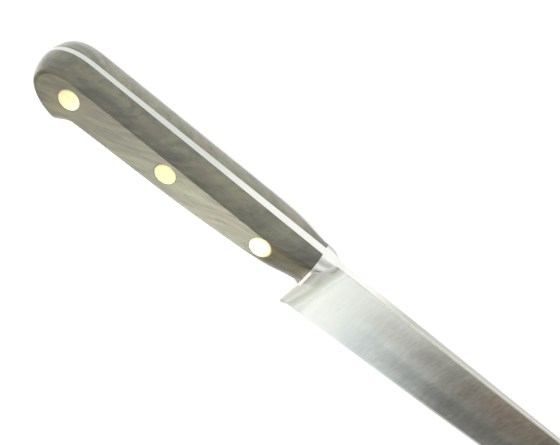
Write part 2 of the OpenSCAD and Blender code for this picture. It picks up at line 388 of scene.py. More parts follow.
def blendNumber(tree, factor, a, b):
    return addNode(tree, "ShaderNodeMix", {"data_type": "FLOAT"}, {0: factor, 2: a, 3: b}).outputs[0]


def blendColour(tree, factor, a, b, blendType="MIX"):
    settings = {"data_type": "RGBA", "blend_type": blendType}
    return addNode(tree, "ShaderNodeMix", settings, {0: factor, 6: a, 7: b}).outputs[2]


def tinted(tree, factor, colour, tint):
    return blendColour(tree, factor, colour, tint, "MULTIPLY")


def newGroup(name, inputs, outputs):
    group = bpy.data.node_groups.new(name, "ShaderNodeTree")
    for label, kind, value in inputs:
        socket = group.interface.new_socket(name=label, in_out="INPUT", socket_type=kind)
        if value is not None:
            socket.default_value = value
    for label, kind in outputs:
        group.interface.new_socket(name=label, in_out="OUTPUT", socket_type=kind)
    return group, group.nodes.new("NodeGroupInput").outputs, group.nodes.new("NodeGroupOutput").inputs


def useGroup(tree, group, inputs):
    return addNode(tree, "ShaderNodeGroup", {"node_tree": group}, inputs).outputs


def newMaterial(name):
    material = bpy.data.materials.new(name)
    material.use_nodes = True
    tree = material.node_tree
    tree.nodes.clear()
    out = tree.nodes.new("ShaderNodeOutputMaterial")
    shader = tree.nodes.new("ShaderNodeBsdfPrincipled")
    tree.links.new(shader.outputs[0], out.inputs[0])
    place = tree.nodes.new("ShaderNodeTexCoord").outputs["Object"]
    return material, tree, shader, place


def addBump(tree, shader, height, distance):
    values = {"Height": height, "Distance": distance, "Strength": 1.0}
    tree.links.new(addNode(tree, "ShaderNodeBump", None, values).outputs[0], shader.inputs["Normal"])


colourSocket, numberSocket, vectorSocket = "NodeSocketColor", "NodeSocketFloat", "NodeSocketVector"
perMetre = (1 / metre, 1 / metre, 1 / metre)
grainNoise = {
    "drift": ((0.03, 0.06, 0.06), (0, 0, 0), 2),
    "sway": 9.0,
    "bands": ((0.012, 0.16, 0.16), (0, 0, 0), 3, 0.55),
    "streaks": ((0.07, 0.8, 0.24), (3, 7, 1), 5, 0.66, 0.15),
    "mottle": ((0.06, 0.13, 0.13), (2, 4, 8), 2, 0.5, 0.5),
    "fibres": ((0.22, 5.0, 5.0), (1, 2, 5), 3, 0.6),
    "veins": ((0.05, 0.35, 0.16), (11, 4, 9), 4, 0.6, 0.4),
    "pores": ((0.5, 7.0, 7.0), (5, 5, 5), 1),
    "bandShare": 0.25,
    "streakShare": 0.4,
    "mottleShare": 0.35,
    "noiseMiddle": 0.5,
    "toneRange": (0.37, 0.63),
    "veinRange": (0.5, 0.64),
    "poreRange": (0.62, 0.74),
    "poreShade": 0.45,
    "fibreHeight": 0.6,
    "poreDepth": 0.8,
}


# Long wood fibres along X, with broad bands, leaning streaks, open pores and a few warm veins
def woodGrainGroup():
    inputs = [
        ("Place", vectorSocket, None),
        ("Dark", colourSocket, (0.1, 0.09, 0.07, 1)),
        ("Pale", colourSocket, (0.3, 0.27, 0.2, 1)),
        ("Warm", colourSocket, (0.25, 0.17, 0.13, 1)),
        ("Warm Amount", numberSocket, 0.5),
        ("Fibre Contrast", numberSocket, 0.5),
        ("Lean", numberSocket, 0.0),
    ]
    outputs = [("Colour", colourSocket), ("Height", numberSocket), ("Streaks", numberSocket)]
    group, given, result = newGroup("woodGrain", inputs, outputs)
    millimetres = stretched(group, given["Place"], perMetre)
    drift = placedNoise(group, millimetres, grainNoise["drift"])
    sway = {1: times(group, drift, grainNoise["sway"]), 2: 0.0}
    sway = addNode(group, "ShaderNodeCombineXYZ", None, sway).outputs[0]
    added = {"operation": "ADD"}
    swayed = addNode(group, "ShaderNodeVectorMath", added, {0: millimetres, 1: sway}).outputs[0]
    leaned = turned(group, swayed, given["Lean"])
    unleaned, leaning = ("bands", "fibres", "pores"), ("streaks", "mottle", "veins")
    bands, fibres, pores = (placedNoise(group, swayed, grainNoise[k]) for k in unleaned)
    streaks, mottle, veins = (placedNoise(group, leaned, grainNoise[k]) for k in leaning)
    tone = times(group, bands, grainNoise["bandShare"])
    tone = plus(group, tone, times(group, streaks, grainNoise["streakShare"]))
    tone = plus(group, tone, times(group, mottle, grainNoise["mottleShare"]))
    fibreShift = minus(group, fibres, grainNoise["noiseMiddle"])
    tone = plus(group, tone, times(group, fibreShift, given["Fibre Contrast"]))
    wood = blendColour(group, remap(group, tone, *grainNoise["toneRange"]), given["Dark"], given["Pale"])
    veinShare = times(group, remap(group, veins, *grainNoise["veinRange"]), given["Warm Amount"])
    wood = blendColour(group, veinShare, wood, given["Warm"])
    pores = remap(group, pores, *grainNoise["poreRange"])
    wood = blendColour(group, times(group, pores, grainNoise["poreShade"]), wood, given["Dark"])
    height = times(group, fibres, grainNoise["fibreHeight"])
    height = minus(group, height, times(group, pores, grainNoise["poreDepth"]))
    for label, value in (("Colour", wood), ("Height", height), ("Streaks", streaks)):
        group.links.new(value, result[label])
    return group


grindingNoise = {"lines": (4, 0.7), "clouds": ((0.13, 0.035, 0.05), (2, 8, 3), 3, 0.5, 0.2)}


# Marks of a belt or wheel that all run one way, with soft clouds where it pressed harder
def grindingGroup():
    inputs = [
        ("Place", vectorSocket, None),
        ("Lean", numberSocket, 0.0),
        ("Line Width", numberSocket, 0.2),
        ("Line Length", numberSocket, 8.0),
    ]
    outputs = [("Lines", numberSocket), ("Clouds", numberSocket)]
    group, given, result = newGroup("grindingMarks", inputs, outputs)
    leaned = turned(group, stretched(group, given["Place"], perMetre), given["Lean"])
    across, lengthwise = (calc(group, "DIVIDE", 1.0, given[k]) for k in ("Line Width", "Line Length"))
    scale = {0: across, 1: lengthwise, 2: lengthwise}
    scale = addNode(group, "ShaderNodeCombineXYZ", None, scale).outputs[0]
    scaled = {"operation": "MULTIPLY"}
    squeezed = addNode(group, "ShaderNodeVectorMath", scaled, {0: leaned, 1: scale}).outputs[0]
    group.links.new(noise(group, squeezed, *grindingNoise["lines"]), result["Lines"])
    group.links.new(placedNoise(group, leaned, grindingNoise["clouds"]), result["Clouds"])
    return group


woodGrain = woodGrainGroup()
grindingMarks = grindingGroup()

# Spans along and across the side are millimetres from the middle rivet; shares go from the tang
# (0) to the flat side (1)
woodLook = {
    "dark": (0.053, 0.054, 0.03, 1),
    "pale": (0.139, 0.14, 0.065, 1),
    "warm": (0.148, 0.102, 0.066, 1),
    "rightPaleness": 1.0,
    # painted light: the left scale's wood is a paler copy of the same wood
    "leftPaintedLight": 1.5,
    # painted shade: the wood near the bolster, toward the spine, is darkened in its colour
    "paintedFrontShade": (0.44, 0.46, 0.54, 1),
    "shadeAlong": (38, 54),
    "shadeSide": (1.5, 5),
    # painted sheen: a paler, bluer front end of the side, below the middle
    "paintedFrontSheen": (1.3, 1.24, 1.95, 1),
    "sheenAlong": (37, 46),
    "sheenSide": (3.5, 0),
    # painted shade on the crown beside the rounded edge of the flat side
    "paintedEdgeShade": (0.72, 0.73, 0.75, 1),
    "paintedShadeShare": (0.3, 0.8, 0.97, 0.995),
    "sideTint": (1.03, 1.0, 0.72, 1),
    "sideShare": (0.988, 1.0),
    "warmAmount": 0.52,
    "fibreContrast": 0.4,
    "lean": -0.33,
    "heightRange": (0.0, 0.6),
    "roughness": (0.42, 0.3),
    "lacquerStreaks": (0.36, 0.64),
    "lacquer": (0.74, 1.0),
    "softEdge": (0.9, 0.95, 0.985, 1.0),
    "lacquerRoughness": (0.2, 0.42),
    "lacquerIor": 1.67,
    "bump": 0.00003,
}


def paler(colour, amount):
    return tuple(part * amount for part in woodLook[colour][:3]) + (1,)


def woodMaterial(name, paleness):
    material, tree, shader, place = newMaterial(name)
    look = {
        "Place": place,
        "Dark": paler("dark", paleness),
        "Pale": paler("pale", paleness),
        "Warm": paler("warm", paleness),
        "Warm Amount": woodLook["warmAmount"],
        "Fibre Contrast": woodLook["fibreContrast"],
        "Lean": woodLook["lean"],
    }
    grain = useGroup(tree, woodGrain, look)
    part = placeFromRivet(tree, place)
    edge = storedValue(tree, "shareOfThickness")
    tints = (
        # painted shade near the bolster, toward the spine
        (patch(tree, part, woodLook["shadeAlong"], woodLook["shadeSide"]), "paintedFrontShade"),
        # painted sheen on the side toward the front, below the middle
        (patch(tree, part, woodLook["sheenAlong"], woodLook["sheenSide"]), "paintedFrontSheen"),
        # painted shade on the crown beside the flat side's rounded edge
        (within(tree, edge, woodLook["paintedShadeShare"]), "paintedEdgeShade"),
        (within(tree, edge, woodLook["sideShare"]), "sideTint"),
    )
    wood = grain["Colour"]
    for amount, tint in tints:
        wood = tinted(tree, amount, wood, woodLook[tint])
    tree.links.new(wood, shader.inputs["Base Color"])
    roughness = remap(tree, grain["Height"], *woodLook["heightRange"], *woodLook["roughness"])
    tree.links.new(roughness, shader.inputs["Roughness"])
    lacquer = remap(tree, grain["Streaks"], *woodLook["lacquerStreaks"], *woodLook["lacquer"])
    tree.links.new(lacquer, shader.inputs["Coat Weight"])
    softened = within(tree, edge, woodLook["softEdge"])
    softened = remap(tree, softened, 0.0, 1.0, *woodLook["lacquerRoughness"])
    tree.links.new(softened, shader.inputs["Coat Roughness"])
    shader.inputs["Coat IOR"].default_value = woodLook["lacquerIor"]
    addBump(tree, shader, grain["Height"], woodLook["bump"])
    return material


# Spans are millimetres from the middle rivet. The bands run along the blade: each starts where
# bandStarts says and lifts the tone by its share in bandLifts; the last band is painted shade by the
# bolster.
# Each bolster patch, given by its spans along and across, multiplies the colour by its tint: painted
# highlights and painted shade on the hollow and its shoulder.
steelLook = {
    "satin": (0.60, 0.625, 0.60, 1),
    "shade": (0.49, 0.51, 0.49, 1),
    # calmer grinding marks toward the heel, with a painted sheen: this satin is brighter than the mean
    "calmSatinWithPaintedSheen": (0.595, 0.62, 0.597, 1),
    "calmAlong": (94, 72),
    "calmShare": 0.65,
    "coolTint": (0.965, 1.0, 1.04, 1),
    "coolSide": (-4, -12),
    "coolAlong": (70, 86),
    "spineBand": (-1, 5),
    "paleBand": (-4, -8, -9, -11),
    "darkBand": (-9.5, -13, -15, -19),
    # painted shade: the last band darkens the satin next to the bolster
    "heelPaintedShade": (30, 50, 0.4, 1.0),
    "bandStarts": ((70, 112), (70, 100), (84, 108), (67, 62)),
    "bandLifts": (0.3, 0.07, -0.15, -0.24),
    "warmTint": (1.25, 1.13, 1.11, 1),
    "warmAlong": (115, 140, 144, 162),
    "warmSide": (-9, 0),
    "polished": (0.625, 0.63, 0.605, 1),
    "heelPolished": (0.75, 0.755, 0.72, 1),
    "heelRub": (2, -14),
    # painted highlights (tints above 1) and painted shade (tints below 1) on the bolster's hollow
    "paintedHollowLightAndShade": (
        ((60.3, 61.4, 62.2, 63.4), (-5, -1, 5, 6.5), (1.1, 1.1, 1.1, 1)),
        ((55, 55.5, 60.2, 61.5), (5.6, 6.2, 6.5, 7.3), (0.68, 0.68, 0.67, 1)),
        ((55.5, 56.5, 59.4, 60.2), (4.6, 5, 5.5, 6), (1.12, 1.12, 1.1, 1)),
        ((56.3, 57, 58.5, 59.5), (3.5, 3.9, 4.2, 4.6), (0.68, 0.68, 0.67, 1)),
    ),
    "softSlant": -0.14,
    "softAlong": (59.3, 60.8, 63.2, 66.5),
    "softSide": (8.5, 7.5),
    "softRoughness": 0.5,
    # painted shade: a slanted strip just past the hollow is darkened
    "softEnd": (63.6, 64.7, 65.6, 67.5),
    "softEndPaintedShade": (0.915, 0.915, 0.925, 1),
    "spineBright": (0.69, 0.695, 0.67, 1),
    # painted shade on the spine's narrow face further along the blade
    "spinePaintedShade": (0.425, 0.435, 0.405, 1),
    "spineFade": (74, 94),
    "cornerRange": (0.3, 1.0),
    "cornerShare": 0.85,
    # painted highlight: a pale cream line along the spine's corner
    "cornerPaintedHighlight": (0.75, 0.745, 0.67, 1),
    "cornerRoughness": 0.42,
    "groundMarks": {"Lean": math.radians(4), "Line Width": 0.8, "Line Length": 4.0},
    "rubbedMarks": {"Lean": math.pi / 2, "Line Width": 0.15, "Line Length": 9.0},
    "markShare": 0.5,
    "markRange": (0.3, 0.7),
    "markMiddle": 0.5,
    "satinRoughness": (0.165, 0.185),
    "cloudRoughness": 0.06,
    "polishedRoughness": 0.36,
    "rubbedRoughness": 0.08,
    "heelRoughness": 0.06,
    "bump": 0.0000005,
}


def satinSteel(tree, part, ground, calm):
    tone = (times(tree, ground[label], steelLook["markShare"]) for label in ("Clouds", "Lines"))
    tone = remap(tree, plus(tree, *tone), *steelLook["markRange"])
    satin = blendColour(tree, tone, steelLook["shade"], steelLook["satin"])
    # toward the heel: calmer marks and a painted sheen
    satin = blendColour(tree, calm, satin, steelLook["calmSatinWithPaintedSheen"])
    cool = patch(tree, part, steelLook["coolAlong"], steelLook["coolSide"])
    satin = tinted(tree, cool, satin, steelLook["coolTint"])
    bands = [within(tree, part["Y"], steelLook[key]) for key in ("spineBand", "paleBand", "darkBand")]
    # the last band is painted shade next to the bolster
    bands += [remap(tree, part["X"], *steelLook["heelPaintedShade"])]
    lift = 1.0
    for band, starts, amount in zip(bands, steelLook["bandStarts"], steelLook["bandLifts"]):
        band = times(tree, band, remap(tree, part["X"], *starts))
        lift = plus(tree, times(tree, band, amount), lift)
    lifted = addNode(tree, "ShaderNodeCombineXYZ", None, {0: lift, 1: lift, 2: lift}).outputs[0]
    satin = tinted(tree, 1.0, satin, lifted)
    warm = patch(tree, part, steelLook["warmAlong"], steelLook["warmSide"])
    return tinted(tree, warm, satin, steelLook["warmTint"])


def steelMaterial():
    material, tree, shader, place = newMaterial("groundSteel")
    shader.inputs["Metallic"].default_value = 1.0
    ground = useGroup(tree, grindingMarks, {"Place": place, **steelLook["groundMarks"]})
    rubbed = useGroup(tree, grindingMarks, {"Place": place, **steelLook["rubbedMarks"]})
    polish, onSpine, corner = (storedValue(tree, name) for name in ("polish", "spine", "corner"))
    corner = remap(tree, corner, *steelLook["cornerRange"])
    part = placeFromRivet(tree, place)
    calm = remap(tree, part["X"], *steelLook["calmAlong"], 0.0, steelLook["calmShare"])
    heel = remap(tree, part["Y"], *steelLook["heelRub"])
    slanted = plus(tree, part["X"], times(tree, part["Y"], steelLook["softSlant"]))

    polished = blendColour(tree, heel, steelLook["polished"], steelLook["heelPolished"])
    forged = blendColour(tree, polish, satinSteel(tree, part, ground, calm), polished)
    # painted highlights and painted shade on the bolster's hollow and shoulder
    for along, side, tint in steelLook["paintedHollowLightAndShade"]:
        forged = tinted(tree, patch(tree, part, along, side), forged, tint)
    # painted shade on the slanted strip past the hollow
    forged = tinted(tree, within(tree, slanted, steelLook["softEnd"]), forged, steelLook["softEndPaintedShade"])
    # painted highlight along the spine's corner
    cornerShare = times(tree, corner, steelLook["cornerShare"])
    forged = blendColour(tree, cornerShare, forged, steelLook["cornerPaintedHighlight"])
    # the spine's narrow face is bright near the bolster and turns to painted shade further along the blade
    fade = remap(tree, part["X"], *steelLook["spineFade"])
    spineColour = blendColour(tree, fade, steelLook["spineBright"], steelLook["spinePaintedShade"])
    tree.links.new(blendColour(tree, onSpine, forged, spineColour), shader.inputs["Base Color"])

    satinRough = remap(tree, ground["Lines"], *steelLook["markRange"], *steelLook["satinRoughness"])
    cloudRough = minus(tree, ground["Clouds"], steelLook["markMiddle"])
    cloudRough = times(tree, cloudRough, steelLook["cloudRoughness"])
    satinRough = plus(tree, satinRough, times(tree, cloudRough, minus(tree, 1.0, calm)))
    polishedRough = times(tree, rubbed["Lines"], steelLook["rubbedRoughness"])
    polishedRough = plus(tree, polishedRough, steelLook["polishedRoughness"])
    polishedRough = plus(tree, polishedRough, times(tree, heel, steelLook["heelRoughness"]))
    roughness = blendNumber(tree, polish, satinRough, polishedRough)
    soft = {"X": slanted, "Y": part["Y"]}
    soft = patch(tree, soft, steelLook["softAlong"], steelLook["softSide"])
    roughness = blendNumber(tree, soft, roughness, steelLook["softRoughness"])
    roughness = blendNumber(tree, corner, roughness, steelLook["cornerRoughness"])
    tree.links.new(roughness, shader.inputs["Roughness"])
    height = blendNumber(tree, polish, ground["Lines"], rubbed["Lines"])
    addBump(tree, shader, height, steelLook["bump"])
    return material


brassLook = {
    "bright": (0.90, 0.76, 0.46, 1),
    "tarnish": (0.72, 0.50, 0.20, 1),
    # painted shade: darker copies of the brass colours, for the middle rivet
    "paintedShadeBright": (0.53, 0.45, 0.26, 1),
    "paintedShadeTarnish": (0.38, 0.31, 0.14, 1),
    "blotches": ((330, 420, 420), (4, 1, 7), 3, 0.55),
    "stain": (0.5, 0.78, 0.0, 0.6),
    "marks": {"Lean": math.pi / 2 + 0.06, "Line Width": 0.12, "Line Length": 5.0},
    "markRange": (0.3, 0.7),
    "roughness": (0.2, 0.34),
    "bump": 0.000012,
}


def brassMaterial(name, bright, tarnish):
    material, tree, shader, place = newMaterial(name)
    shader.inputs["Metallic"].default_value = 1.0
    rubbed = useGroup(tree, grindingMarks, {"Place": place, **brassLook["marks"]})
    stain = remap(tree, placedNoise(tree, place, brassLook["blotches"]), *brassLook["stain"])
    colour = blendColour(tree, stain, brassLook[bright], brassLook[tarnish])
    tree.links.new(colour, shader.inputs["Base Color"])
    roughness = remap(tree, rubbed["Lines"], *brassLook["markRange"], *brassLook["roughness"])
    tree.links.new(roughness, shader.inputs["Roughness"])
    addBump(tree, shader, rubbed["Lines"], brassLook["bump"])
    return material


rightWood = woodMaterial("lacqueredWood", woodLook["rightPaleness"])
# The left scale gets a paler copy of the wood: painted light on its floor-lit crown
paintedLightLeftWood = woodMaterial("paintedLightLacqueredWood", woodLook["leftPaintedLight"])
steel = steelMaterial()
brass = brassMaterial("rubbedBrass", "bright", "tarnish")
# The middle rivet gets a darker copy of the same brass: painted shade
paintedShadeBrass = brassMaterial("brassInPaintedShade", "paintedShadeBright", "paintedShadeTarnish")
print("materials ready")

# The rivets and the holes they sit in
rivet = {
    "pitch": 38.5,
    "headDiameter": 8.0,
    "headThickness": 2.2,
    "barrelDiameter": 4.8,
    "pinDiameter": 3.0,
    "pinChamfer": 0.3,
    "pinRoom": 0.6,
    "boreShort": 0.4,
    "barrelGap": 1.0,
    "fit": 0.02,
    "rimRadius": 0.14,
    "rimDrop": 0.05,
    "rimTurns": (22.5, 45, 67.5, 90),
    "faceRings": (0, 0.12, 0.25, 0.4, 0.55, 0.7, 0.85, 1),
    "faceStart": 1.0,
    "follow": 0.3,
    "cutPast": 1.0,
    "cutBelow": 1.0,
    "steps": 72,
}
headFloor = halfThickness - rivet["headThickness"]


# Cuts three holes: stepped for the heads in a scale, plain in the tang
def holeCutter(stepped):
    bm = bmesh.new()
    top = halfThickness + rivet["cutPast"]
    hole = rivet["barrelDiameter"] / 2 + rivet["fit"]
    if stepped:
        wide, low = rivet["headDiameter"] / 2 + rivet["fit"], -rivet["cutBelow"]
        profile = [(0, top), (wide, top), (wide, headFloor), (hole, headFloor), (hole, low), (0, low)]
    else:
        profile = [(0, top), (hole, top), (hole, -top), (0, -top)]
    latheProfile(bm, profile, rivet["steps"])
    first = bm.verts[:] + bm.edges[:] + bm.faces[:]
    for shift in (-rivet["pitch"], rivet["pitch"]):
        copied = bmesh.ops.duplicate(bm, geom=first)["geom"]
        verts = [g for g in copied if isinstance(g, bmesh.types.BMVert)]
        bmesh.ops.translate(bm, verts=verts, vec=(shift, 0, 0))
    return meshFrom(bm, "holeCutter")


# One scale lies over the tang; the other is its mirror image
def scaleBody():
    bm = bmesh.new()
    shapedGrid(bm, lastPoint, levelCount - 1, wallPoint)

    def sidePoint(i, k):
        top, low = wallPoint(i, levelCount - 1), wallPoint(lastPoint - i, levelCount - 1)
        return top.lerp(low, k / handle["sideRows"])

    shapedGrid(bm, stationCount, handle["sideRows"], sidePoint)
    bmesh.ops.remove_doubles(bm, verts=bm.verts, dist=welded)
    onFront = {v for v in bm.verts if abs(v.co.x - handle["front"]) < touching}
    base = tangHalfAt(handle["front"])
    frontEdge = bm.edges.new([v for v in bm.verts if v in onFront and abs(v.co.z - base) < touching])
    rim = [e for e in bm.edges if e.is_boundary]
    frontRim = [e for e in rim if onFront.issuperset(e.verts)]
    innerRim = [e for e in rim if not onFront.issuperset(e.verts)]
    bmesh.ops.contextual_create(bm, geom=frontRim + [frontEdge])
    bmesh.ops.contextual_create(bm, geom=innerRim + [frontEdge])
    bmesh.ops.recalc_face_normals(bm, faces=bm.faces)
    surface = BVHTree.FromBMesh(bm)
    bevel = {"offset": handle["seamBevel"], "segments": 2, "profile": 0.5, "affect": "EDGES", "material": -1}
    bmesh.ops.bevel(bm, geom=frontRim + innerRim, **bevel)
    cut = cutWith(meshFrom(bm, "scaleBlank"), holeCutter(True))
    shares = cut.attributes.new("shareOfThickness", "FLOAT", "POINT")
    for v in cut.vertices:
        shares.data[v.index].value = v.co.z / halfAt(v.co.x)
    return cut, surface


rightMesh, woodSurface = scaleBody()
leftMesh = rightMesh.copy()
leftMesh.transform(Matrix.Diagonal((1, 1, -1, 1)))
leftMesh.flip_normals()
addPiece(rightMesh, "rightScale", "right_scale", rightWood)
addPiece(leftMesh, "leftScale", "left_scale", paintedLightLeftWood)


# The head's face follows the wood it was sanded flush with, a little lower at its rounded rim
def headProfile():
    radius, rim = rivet["headDiameter"] / 2, rivet["rimRadius"]
    rings = [(r * (radius - rim), halfThickness) for r in rivet["faceRings"]]
    for turn in map(math.radians, rivet["rimTurns"]):
        rings.append((radius - rim + rim * math.sin(turn), halfThickness - rim * (1 - math.cos(turn))))
    return rings + [(radius, headFloor)]


def rivetMesh(x, female):
    bm = bmesh.new()
    pinEnd = headFloor - rivet["pinRoom"]
    barrelEnd = -headFloor + rivet["barrelGap"]
    if female:
        outer, bore = rivet["barrelDiameter"] / 2, rivet["pinDiameter"] / 2 + rivet["fit"]
        boreEnd = pinEnd + rivet["pinRoom"] - rivet["boreShort"]
        profile = [(outer, headFloor), (outer, barrelEnd), (bore, barrelEnd), (bore, boreEnd), (0, boreEnd)]
    else:
        pin, chamfer = rivet["pinDiameter"] / 2, rivet["pinChamfer"]
        profile = [(pin, headFloor), (pin, chamfer - pinEnd), (pin - chamfer, -pinEnd), (0, -pinEnd)]
    latheProfile(bm, headProfile() + profile, rivet["steps"])
    for v in bm.verts:
        if v.co.z > headFloor + rivet["faceStart"]:
            above = Vector((v.co.x + x, v.co.y, 2 * halfThickness))
            hit = woodSurface.ray_cast(above, Vector((0, 0, -1)))[0]
            reach = math.hypot(v.co.x, v.co.y) / (rivet["headDiameter"] / 2)
            v.co.z += (hit.z - halfThickness) * rivet["follow"] - rivet["rimDrop"] * reach**2 if hit else 0
    if not female:
        bmesh.ops.rotate(bm, verts=bm.verts, cent=(0, 0, 0), matrix=Matrix.Rotation(math.pi, 3, "X"))
    bmesh.ops.translate(bm, verts=bm.verts, vec=(x, 0, 0))
    return meshFrom(bm, "rivet")


pitch = rivet["pitch"]
for place, x, look in (("butt", -pitch, brass), ("middle", 0.0, paintedShadeBrass), ("front", pitch, brass)):
    addPiece(rivetMesh(x, True), place + "RivetFemale", place + "_rivet_female", look)
    addPiece(rivetMesh(x, False), place + "RivetMale", place + "_rivet_male", look)

# The blade, bolster and tang are one forging
bolster = {
    "landLength": 1.0,
    "coveTopLength": 6.3,
    "coveHeelLength": 3.0,
    "hollowCurve": (1.0, 2.6),
    "shoulderCurve": (2.6, 1.6),
    "shoulderHeights": (0.8, 0.94),
    "returnThickness": 5.0,
    "heelThickness": 2.4,
    "heelLean": 0.8,
    "footRadius": 1.2,
    "returnBlend": 1.6,
    "polishEnd": 0.55,
    "polishFade": 0.5,
    "faceDepth": 0.1,
    "sideRows": 10,
    "returnRows": 16,
    "coveSteps": 22,
}
blade = {
    "length": 203.0,
    "heelDepth": 23.6,
    "tipHeight": 0.5,
    "tipEnd": 0.8,
    "bolsterDrop": 0.45,
    "bolsterDropLength": 9.0,
    "spineFall": 0.0195,
    "tipCurve": 6,
    "edgeSlopeShare": 0.2,
    "edgeCurve": 4.5,
    "tipThickness": 0.7,
    "thinning": 1.35,
    "grindCurve": 0.85,
    "bevelWidth": 1.0,
    "bevelThickness": 0.45,
    "edgeThickness": 0.12,
    "spineEase": 0.3,
    "easeRows": (0.0, 0.06, 0.3, 1.0),
    "bevelRows": (1.0, 0.5, 0.0),
    "leastDepth": 3,
    "faceDepth": 0.005,
    "cornerStart": 66.0,
    "cornerStartLength": 14.0,
    "cornerWidth": 1.0,
    "steps": 76,
    "stepCurve": 1.15,
    "settleSteps": 3,
    "evenLines": 10,
    "sharpAngle": 28,
}
bladeTopY = outline[0].y
returnTopY = outline[lastPoint].y
bladeDepth = bladeTopY + blade["heelDepth"]
tipX = handle["front"] + blade["length"]


def softMax(a, b, radius):
    u = max(radius - abs(a - b), 0) / radius
    return max(a, b) + u * u * radius / 4


def returnHalf(y):
    u = (y + blade["heelDepth"]) / (returnTopY + blade["heelDepth"])
    return mix(bolster["heelThickness"], bolster["returnThickness"], u) / 2


# Rows from the spine to the edge at the bolster's rear face, as (height, half thickness)
def rearRows():
    neck = sectionAt(handle["front"])
    rows = [(bladeTopY - inset, z) for inset, z in neck]
    sideTop, sideLow = bladeTopY - neck[-1][0], returnTopY + neck[-1][0]
    for i in range(1, bolster["sideRows"]):
        rows.append((mix(sideTop, sideLow, i / bolster["sideRows"]), neck[-1][1]))
    for inset, z in reversed(neck):
        y = returnTopY + inset
        rows.append((y, softMax(z, returnHalf(y), bolster["returnBlend"])))
    for i in range(1, bolster["returnRows"] + 1):
        y = mix(returnTopY, -blade["heelDepth"], math.sin(math.pi / 2 * i / bolster["returnRows"]))
        rows.append((y, returnHalf(y)))
    return rows


rows = rearRows()
lastRow = len(rows) - 1
rearShares = [(y + blade["heelDepth"]) / bladeDepth for y, z in rows]


def alongBlade(x):
    return share(x, handle["front"], tipX)


def spineAt(x):
    u = alongBlade(x)
    fall = blade["bolsterDrop"] * smoothStep(u * blade["length"] / blade["bolsterDropLength"])
    fall += blade["spineFall"] * u * blade["length"]
    full = blade["bolsterDrop"] + blade["spineFall"] * blade["length"]
    return bladeTopY - fall - (bladeTopY - full - blade["tipHeight"]) * u ** blade["tipCurve"]


def edgeAt(x):
    u = alongBlade(x)
    rise = blade["tipHeight"] - blade["tipEnd"] + blade["heelDepth"]
    slope = blade["edgeSlopeShare"]
    return rise * (slope * u + (1 - slope) * u ** blade["edgeCurve"]) - blade["heelDepth"]


def bladeHalf(x, up, depth):
    left = (1 - alongBlade(x)) ** blade["thinning"]
    spineHalf = mix(blade["tipThickness"], tang["frontThickness"], left) / 2
    height = min(max(up / depth, 0), 1) ** blade["grindCurve"]
    ground = mix(blade["bevelThickness"] / 2, spineHalf, height)
    if up < blade["bevelWidth"]:
        return mix(blade["edgeThickness"] / 2, ground, up / blade["bevelWidth"])
    return ground


def coveLength(u):
    return mix(bolster["coveHeelLength"], bolster["coveTopLength"], math.sin(math.pi / 2 * u))


def rearFaceX(u):
    lean = bolster["heelLean"] * max(0, 1 - u * bladeDepth / (blade["heelDepth"] + returnTopY))
    foot = max(0, 1 - u * bladeDepth / bolster["footRadius"])
    return handle["front"] - lean + bolster["footRadius"] * (1 - math.sqrt(max(1 - foot * foot, 0)))


lines = [-1.0] + [i / bolster["coveSteps"] for i in range(bolster["coveSteps"] + 1)]
lines += [1.0 + i for i in range(1, blade["steps"] + 1)]
lastLine = len(lines) - 1


def lineX(i, u):
    w = lines[i]
    if w < 0:
        return rearFaceX(u)
    foot = rearFaceX(u) + bolster["landLength"]
    if w <= 1:
        return foot + coveLength(u) * w
    turn = math.pi / 2 * ((w - 1) / blade["steps"]) ** blade["stepCurve"]
    return mix(foot + coveLength(u), tipX, math.sin(turn))


# How much of the bolster's extra thickness is left at a line: hollow, with a round shoulder on top
def hollowAt(i, u):
    w = lines[i]
    if w < 0 or w > 1:
        return 1.0 if w < 0 else 0.0
    shoulder = smoothStep(share(u, *bolster["shoulderHeights"]))
    full, foot = (mix(a, b, shoulder) for a, b in zip(bolster["hollowCurve"], bolster["shoulderCurve"]))
    return (1 - w**full) ** foot


# The blade's own rows: close together at the eased spine corner and at the edge bevel
def bladeShare(j, depth):
    ease, bevel = blade["spineEase"], blade["bevelWidth"]
    nearTop = [row * ease for row in blade["easeRows"]]
    nearEdge = [row * bevel for row in blade["bevelRows"]]
    if j < len(nearTop):
        return 1 - nearTop[j] / depth
    if j > lastRow - len(nearEdge):
        return nearEdge[j - lastRow - 1 + len(nearEdge)] / depth
    first, last = 1 - ease / depth, bevel / depth
    return mix(first, last, (j - len(nearTop) + 1) / (lastRow - len(nearEdge) - len(nearTop) + 2))


def bladePoint(i, j):
    ease = blade["spineEase"]
    even = smoothStep(max(lines[i], 0) / blade["evenLines"])
    u = rearShares[j]
    for step in range(blade["settleSteps"]):  # the share and the depth at that share's x settle together
        x = lineX(i, min(max(u, 0), 1))
        depthHere = spineAt(x) - edgeAt(x)
        safeDepth = max(depthHere, blade["leastDepth"] * (blade["bevelWidth"] + ease))
        u = mix(rearShares[j], bladeShare(j, safeDepth), even)
    up = u * depthHere
    steelHalf = bladeHalf(x, up, depthHere)
    z = steelHalf + max(rows[j][1] - steelHalf, 0) * hollowAt(i, u)
    down = (1 - u) * depthHere
    if down < ease:
        rounded = ease - math.sqrt(max(ease**2 - (ease - down) ** 2, 0))
        z -= rounded * even * min(1, z / ease / 2)
    return Vector((x, edgeAt(x) + up, z))


def polishMark(i):
    return 1.0 - smoothStep((lines[i] - bolster["polishEnd"]) / bolster["polishFade"])


